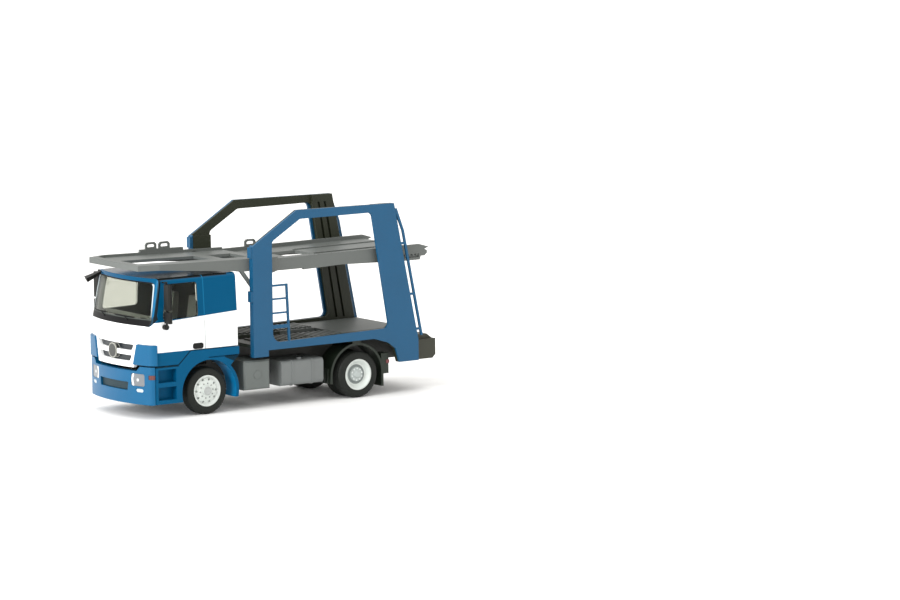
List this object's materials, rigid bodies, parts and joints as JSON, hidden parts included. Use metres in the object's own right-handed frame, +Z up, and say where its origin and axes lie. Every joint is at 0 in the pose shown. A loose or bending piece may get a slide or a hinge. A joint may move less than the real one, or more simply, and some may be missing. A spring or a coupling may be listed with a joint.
{
  "type": "scale model car transporter truck",
  "caption": "Small-scale plastic model of a rigid car transporter truck: forward-control cab, open side frames with a lower and an upper car deck, rolling wheels.",
  "frame": {"origin": "on the ground under the middle of the model's bounding box", "axes": "+X forward towards the cab, +Y to the truck's left, +Z up"},
  "size_m": [0.0846, 0.0346, 0.0473],
  "materials": {
    "cab_paint": "glossy printed plastic",
    "frame_paint": "satin moulded plastic",
    "black_plastic": "matt moulded plastic",
    "dark_plastic": "matt moulded plastic",
    "grey_plastic": "matt moulded plastic",
    "tyre": "matt soft plastic",
    "rim_white": "satin moulded plastic",
    "clear_plastic": "clear moulded glazing",
    "lamp_clear": "silver printed lens",
    "lamp_red": "printed red lens",
    "lamp_amber": "printed side lamp",
    "steel": "drawn wire"
  },
  "bodies": {
    "truck": {"chassis": "dark_plastic", "cab_shell": "cab_paint", "front_panel": "cab_paint", "grille": "black_plastic", "corner_panels": "cab_paint", "windscreen_frame": "black_plastic", "windscreen": "clear_plastic", "door_windows": "clear_plastic", "cab_interior": "dark_plastic", "steering_wheel": "black_plastic", "bumper": "frame_paint", "headlamps": "lamp_clear", "bumper_intake": "black_plastic", "marker_lamps": "lamp_amber", "front_mudguards": "frame_paint", "mirrors": "black_plastic", "front_mirror": "black_plastic", "door_handles": "black_plastic", "battery_boxes": "dark_plastic", "fuel_tanks": "grey_plastic", "rear_mudguards": "black_plastic", "rear_lamps": "lamp_red", "side_frame_left": "frame_paint", "side_frame_right": "frame_paint", "frame_liner_left": "dark_plastic", "frame_liner_right": "dark_plastic", "ladders": "dark_plastic", "grab_rails": "frame_paint", "deck_front": "grey_plastic", "deck_rear": "grey_plastic", "deck_struts": "grey_plastic", "lashing_hoops": "grey_plastic", "subframe": "dark_plastic", "lower_deck": "grey_plastic", "rear_beam": "dark_plastic", "coupling": "black_plastic"},
    "front_axle": {"front_axle_rod": "steel", "front_rims": "rim_white", "front_tyres": "tyre"},
    "rear_axle": {"rear_axle_rod": "steel", "rear_rims": "rim_white", "rear_tyres": "tyre"}
  },
  "joints": [
    {"name": "front_axle_spin", "type": "hinge", "parent": "truck", "child": "front_axle", "pos_m": [0.024, 0, 0.0057], "axis": [0, 1, 0], "continuous": true},
    {"name": "rear_axle_spin", "type": "hinge", "parent": "truck", "child": "rear_axle", "pos_m": [-0.0193, 0, 0.0057], "axis": [0, 1, 0], "continuous": true}
  ]
}
